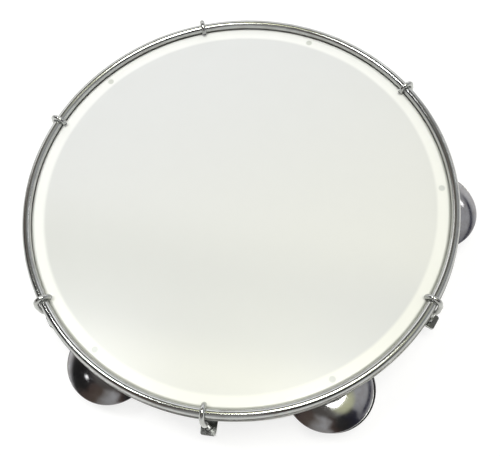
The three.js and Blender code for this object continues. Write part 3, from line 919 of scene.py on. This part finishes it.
def make_nuts(finish, round_drum):
    """Hexagons with both faces chamfered and a bored middle."""
    corner = NUT_ACROSS_FLATS / math.sqrt(3)
    turns = [math.pi / 3 * i for i in range(6)]
    hexagon = [(corner * math.cos(turn), corner * math.sin(turn)) for turn in turns]
    block = prism("block", hexagon, NUT_BOTTOM, NUT_TOP)
    face = NUT_ACROSS_FLATS / 2 * NUT_FACE_SHARE
    reach = corner * NUT_CHAMFER_REACH
    chamfers = lathe("chamfers", [
        (0, NUT_BOTTOM), (face, NUT_BOTTOM), (reach, NUT_BOTTOM + NUT_CHAMFER),
        (reach, NUT_TOP - NUT_CHAMFER), (face, NUT_TOP), (0, NUT_TOP),
    ], NUT_STEPS, ring=False)
    bore_radius = ROD_RADIUS + BORE_CLEARANCE
    mouth = bore_radius + BORE_MOUTH_WIDTH
    bore = lathe("bore", [
        (0, NUT_BOTTOM - SEAT_GAP), (mouth + SEAT_GAP, NUT_BOTTOM - SEAT_GAP),
        (bore_radius, NUT_BOTTOM + SEAT_GAP), (bore_radius, NUT_TOP - SEAT_GAP),
        (mouth + SEAT_GAP, NUT_TOP + SEAT_GAP), (0, NUT_TOP + SEAT_GAP),
    ], HOLE_STEPS, ring=False)
    nut = combined(combined(block, "INTERSECT", chamfers), "DIFFERENCE", bore)
    for i, stem in zip(HOOKS, STEMS):
        piece = set_round(round_drum, copied(nut), [stem], 0, f"hex_nut_{i}", finish)
        finished(piece, f"nut_{i}", "fastener", f"tension_nut_{i}")
    remove(nut)


def make_jingles(cup_finish, disc_finish):
    cup = struck_cup()
    shared = dict(hole_radius=CUP_HOLE_RADIUS, crown_radius=CUP_HOLE_RADIUS + CUP_CROWN_WIDTH,
                  sheet=JINGLE_SHEET)
    for i in STATIONS:
        for kind, over in (("upper_cup", 0.0), ("lower_cup", math.pi)):
            node = f"jingle_{kind}_{i}"
            low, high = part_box(node)
            rim = (middle(node).x, middle(node).y, high.z if over else low.z)
            piece = cup.made_on(
                points("cup_station", [rim]), f"struck_{kind}_{i}", rim_radius=CUP_RADIUS,
                rise=CUP_RISE, turn_over=over, finish=cup_finish, **shared,
            )
            piece = as_made(bevelled(piece, SHEET_EDGE_ROUND), f"{kind}_dome_{i}")
            finished(piece, f"{kind}_{i}", "jingle", node)
        node = f"jingle_disc_{i}"
        face = (middle(node).x, middle(node).y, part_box(node)[0].z)
        piece = cup.made_on(
            points("disc_station", [face]), f"struck_disc_{i}", rim_radius=DISC_RADIUS,
            rise=0.0, turn_over=0.0, finish=disc_finish, **shared,
        )
        piece = as_made(bevelled(piece, SHEET_EDGE_ROUND), f"flat_disc_{i}")
        finished(piece, f"disc_{i}", "disc", node)


# The studio

# The floor's colour as light finds it and as the camera does, with the light each view adds
FLOOR_LIT = (0.86, 0.86, 0.86, 1)
FLOOR_SEEN = (0.3, 0.3, 0.3, 1)
FLOOR_SEEN_LIFT = 0.75
FLOOR_MIRRORED_LIFT = 0.16


def make_floor():
    """A white floor that is lifted to white for the camera and for reflections, and keeps the
    drum's soft shadow. From below it is open, so that the drum's back shows."""
    half, height = FLOOR_HALF_WIDTH, BACK_RIM - FLOOR_DROP
    corners = [(-half, -half), (half, -half), (half, half), (-half, half)]
    mesh = bpy.data.meshes.new("studio_floor")
    mesh.from_pydata([(x, y, height) for x, y in corners], [], [(0, 1, 2, 3)])
    floor = new_object("studio_floor", mesh)
    finish = Finish("White studio floor", roughness=0.9)
    finish.shader.inputs["Specular IOR Level"].default_value = 0.0
    rays = finish.add("ShaderNodeLightPath").outputs
    seen = rays["Is Camera Ray"]
    finish.feed("Base Color", finish.mix(seen, FLOOR_LIT, FLOOR_SEEN))
    mirrored = finish.sum("MAXIMUM", rays["Is Glossy Ray"], rays["Is Transmission Ray"])
    seen_lift = finish.sum("MULTIPLY", seen, FLOOR_SEEN_LIFT)
    lift = finish.sum("MULTIPLY_ADD", mirrored, FLOOR_MIRRORED_LIFT, seen_lift)
    finish.shader.inputs["Emission Color"].default_value = (1, 1, 1, 1)
    finish.feed("Emission Strength", lift)
    from_below = finish.add("ShaderNodeNewGeometry").outputs["Backfacing"]
    open_below = finish.add("ShaderNodeBsdfTransparent")
    sided = finish.add("ShaderNodeMixShader", from_below, finish.shader, open_below)
    output = finish.tree.nodes["Material Output"]
    finish.tree.links.new(sided.outputs[0], output.inputs["Surface"])
    floor.data.materials.append(finish.material)


def direction(turn, rise):
    turn, rise = math.radians(turn), math.radians(rise)
    return Vector((math.cos(turn) * math.cos(rise), math.sin(turn) * math.cos(rise), math.sin(rise)))


# The studio round the drum, from one panel to the next: degrees about Z and colour
STUDIO_PANELS = [
    (-180, (0.02, 0.02, 0.02)), (-158, (0.03, 0.03, 0.03)), (-148, (0.12, 0.09, 0.08)),
    (-128, (0.14, 0.11, 0.09)), (-116, (0.38, 0.37, 0.36)), (-94, (0.55, 0.55, 0.55)),
    (-84, (0.1, 0.07, 0.06)), (-68, (0.04, 0.04, 0.04)), (-36, (0.03, 0.03, 0.05)),
    (-26, (0.42, 0.42, 0.43)), (0, (0.55, 0.55, 0.56)), (62, (0.45, 0.45, 0.47)),
    (78, (0.04, 0.04, 0.05)), (108, (0.04, 0.04, 0.05)), (124, (0.25, 0.22, 0.2)),
    (150, (0.14, 0.11, 0.09)), (166, (0.03, 0.03, 0.03)), (180, (0.02, 0.02, 0.02)),
]
# How far the panels' edges wander, in radians, and how wide their waves are
PANEL_BEND = 0.5
PANEL_CLOUD = 0.2
# What lies above, below and between the panels
CEILING_DIM = (0.13, 0.12, 0.11, 1)
CEILING_AHEAD = (0.42, 0.42, 0.39, 1)
GLOW_COLOUR = (0.8, 0.82, 0.52, 1)
GLOW_DIRECTION = (-25, 68)
HORIZON = (0.88, 0.88, 0.88, 1)
STRIP_COLOUR = (0.05, 0.05, 0.08, 1)
STRIP_WAY = (0, 0.2, 1)


def make_world():
    """The studio: pale round the horizon, with light and dark panels above it that are uneven at
    their edges, a dim ceiling, a warm glow beside the overhead lamp and a dark strip opposite
    the hand hold."""
    world = bpy.data.worlds.new("Studio")
    world.use_nodes = True
    bpy.context.scene.world = world
    tree = world.node_tree

    def step(value, low, high):
        return between(tree, value, low, high, smooth_step=True)

    way = add(tree, "ShaderNodeTexCoord").outputs["Generated"]
    parts = add(tree, "ShaderNodeSeparateXYZ", way)
    cloud = noise(tree, way, PANEL_CLOUD, 3.0)
    start = sum_of(tree, "SUBTRACT", turn_of(tree, parts), PANEL_BEND / 2)
    bent = sum_of(tree, "MULTIPLY_ADD", cloud, PANEL_BEND, start)
    panels = add(tree, "ShaderNodeValToRGB", between(tree, bent, -math.pi, math.pi))
    line = panels.color_ramp
    line.interpolation = "EASE"
    line.elements.remove(line.elements[1])
    for i, (degrees, tone) in enumerate(STUDIO_PANELS):
        place = degrees / 360 + 0.5
        stop = line.elements[0] if i == 0 else line.elements.new(place)
        stop.position = place
        stop.color = (*tone, 1)
    across, up = parts.outputs["X"], parts.outputs["Z"]
    ceiling = mix(tree, step(across, 0.0, 0.3), CEILING_DIM, CEILING_AHEAD)
    colour = mix(tree, step(up, 0.8, 0.9), panels.outputs["Color"], ceiling)
    near = along(tree, way, tuple(direction(*GLOW_DIRECTION)))
    colour = mix(tree, step(near, 0.94, 0.995), colour, GLOW_COLOUR)
    colour = mix(tree, step(up, 0.36, 0.16), colour, HORIZON)
    slant = along(tree, way, STRIP_WAY)
    band = sum_of(tree, "MULTIPLY", step(slant, 0.38, 0.43), step(slant, 0.52, 0.47))
    strip = sum_of(tree, "MULTIPLY", band, step(across, 0.65, 0.8))
    colour = mix(tree, strip, colour, STRIP_COLOUR)
    background = tree.nodes["Background"]
    feed(tree, background.inputs["Color"], colour)
    background.inputs["Strength"].default_value = 1.0


def add_lamp(name, turn, rise, distance, width, height, level, colour=(1, 1, 1)):
    """A soft box aimed at the head's centre: its direction in degrees, its distance and size in
    metres, and its level, which is its power over pi times its area."""
    way = direction(turn, rise)
    lamp = bpy.data.lights.new(name, "AREA")
    lamp.shape = "RECTANGLE"
    lamp.size = width
    lamp.size_y = height
    lamp.energy = level * math.pi * width * height
    lamp.color = colour
    lamp_object = bpy.data.objects.new(name, lamp)
    aim = (-way).to_track_quat("-Z", "Y").to_matrix().to_4x4()
    lamp_object.matrix_world = Matrix.Translation(way * distance) @ aim
    bpy.context.scene.collection.objects.link(lamp_object)


def make_camera():
    """The photograph's camera, solved from the hoop, the pin heads, the hooks and the jingles."""
    lens_mm = 53.2
    swing, tilt, turn = (math.radians(angle) for angle in (-3.91, -23.56, 2.98))
    offset = Vector((-7.29, 18.32, -454.3)) * MM
    turns = ((swing, "Y"), (tilt, "X"), (turn, "Z"))
    first, second, third = (Matrix.Rotation(angle, 3, axis) for angle, axis in turns)
    back = (first @ second @ third).transposed()
    camera = bpy.data.cameras.new("Photo camera")
    camera.lens = lens_mm
    camera.sensor_width = 36
    camera.clip_start = 10 * MM
    camera_object = bpy.data.objects.new("Photo camera", camera)
    camera_object.matrix_world = Matrix.Translation(-(back @ offset)) @ back.to_4x4()
    bpy.context.scene.collection.objects.link(camera_object)
    bpy.context.scene.camera = camera_object


def make_drum():
    round_drum = round_the_drum()
    bright = drawn_metal(
        "Bright wire", (0.47, 0.48, 0.47, 1), (0.36, 0.36, 0.345, 1), roughness=0.15,
        line_width=0.35 * MM, line_depth=0.003 * MM, line_strength=0.03,
    )
    plated = drawn_metal(
        "Plated sheet", (0.2, 0.205, 0.2, 1), (0.15, 0.15, 0.145, 1), roughness=0.15,
        line_width=0.2 * MM, line_depth=0.008 * MM, line_strength=0.2,
    )
    rolled = drawn_metal(
        "Rolled steel", (0.24, 0.24, 0.23, 1), (0.18, 0.18, 0.17, 1), roughness=0.3,
        line_width=0.15 * MM, line_depth=0.01 * MM, line_strength=0.25,
    )
    zinc = turned_steel("Zinc steel", (0.56, 0.57, 0.57, 1), (0.4, 0.4, 0.38, 1), 0.22)
    pin_steel = turned_steel("Pin steel", (0.46, 0.46, 0.45, 1), (0.34, 0.34, 0.33, 1), 0.25)
    cup_metal = dark_nickel("Dark nickel", (0.45, 0.45, 0.465, 1), (0.36, 0.34, 0.325, 1), 0.085)
    disc_metal = dark_nickel("Dull disc", (0.4, 0.4, 0.4, 1), (0.33, 0.32, 0.31, 1), 0.24)
    make_film(coated_film())
    make_flesh_hoop(rolled)
    make_counter_hoop(bright)
    make_shell(moulded_shell(), round_drum)
    make_pins(pin_steel, round_drum)
    make_screws(zinc, round_drum)
    make_brackets(plated, round_drum)
    make_hooks(bright, round_drum)
    make_nuts(zinc, round_drum)
    make_jingles(cup_metal, disc_metal)


make_camera()
make_drum()
make_floor()
make_world()
add_lamp(
    "Overhead soft box", turn=-35, rise=81, distance=1.3, width=0.38, height=0.46, level=15.3,
    colour=(1.0, 1.0, 0.97),
)
add_lamp(
    "Upper left soft box", turn=168, rise=67.5, distance=1.37, width=0.27, height=0.27,
    level=25.0, colour=(0.97, 0.99, 1.0),
)
add_lamp(
    "Warm overhead panel", turn=104, rise=80.5, distance=1.26, width=0.28, height=0.22,
    level=3.0, colour=(1.0, 1.0, 0.6),
)
add_lamp(
    "Far soft box", turn=100, rise=32, distance=1.5, width=2.4, height=0.8, level=1.4,
)
add_lamp(
    "Right strip light", turn=35, rise=30, distance=1.3, width=0.3, height=0.08, level=5.0,
)
add_lamp(
    "Left small lamp", turn=-166, rise=43, distance=1.3, width=0.09, height=0.09, level=4.0,
)
bpy.context.scene.view_settings.view_transform = "Standard"
